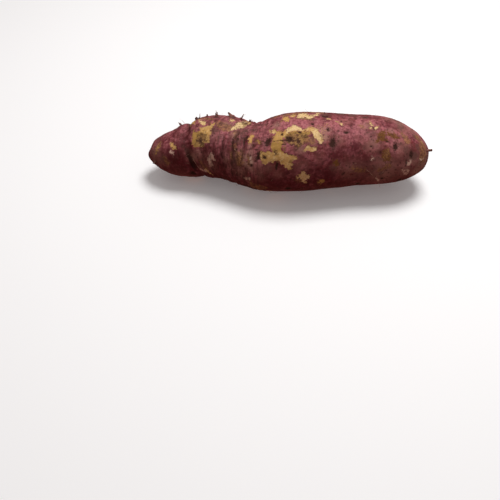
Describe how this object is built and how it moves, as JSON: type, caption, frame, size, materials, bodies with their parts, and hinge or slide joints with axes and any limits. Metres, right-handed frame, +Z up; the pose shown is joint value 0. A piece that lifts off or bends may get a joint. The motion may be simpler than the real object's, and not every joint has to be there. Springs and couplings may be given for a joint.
{
  "type": "sweet potato",
  "caption": "Whole purple-skinned sweet potato with a waisted, wrinkled neck, shallow eyes and short broken rootlets, lying on its belly.",
  "frame": {"origin": "on the surface the root lies on, under the centre of its bounding box", "axes": "+X along the root from the waisted neck to the round end, -Y towards its front, +Z up"},
  "size_m": [0.2204, 0.0758, 0.0603],
  "materials": {
    "skin": "unwashed purple-red root skin with a faint satin sheen, scraped to tan cork in places"
  },
  "bodies": {
    "root": {"sweet_potato": "skin"}
  },
  "joints": []
}
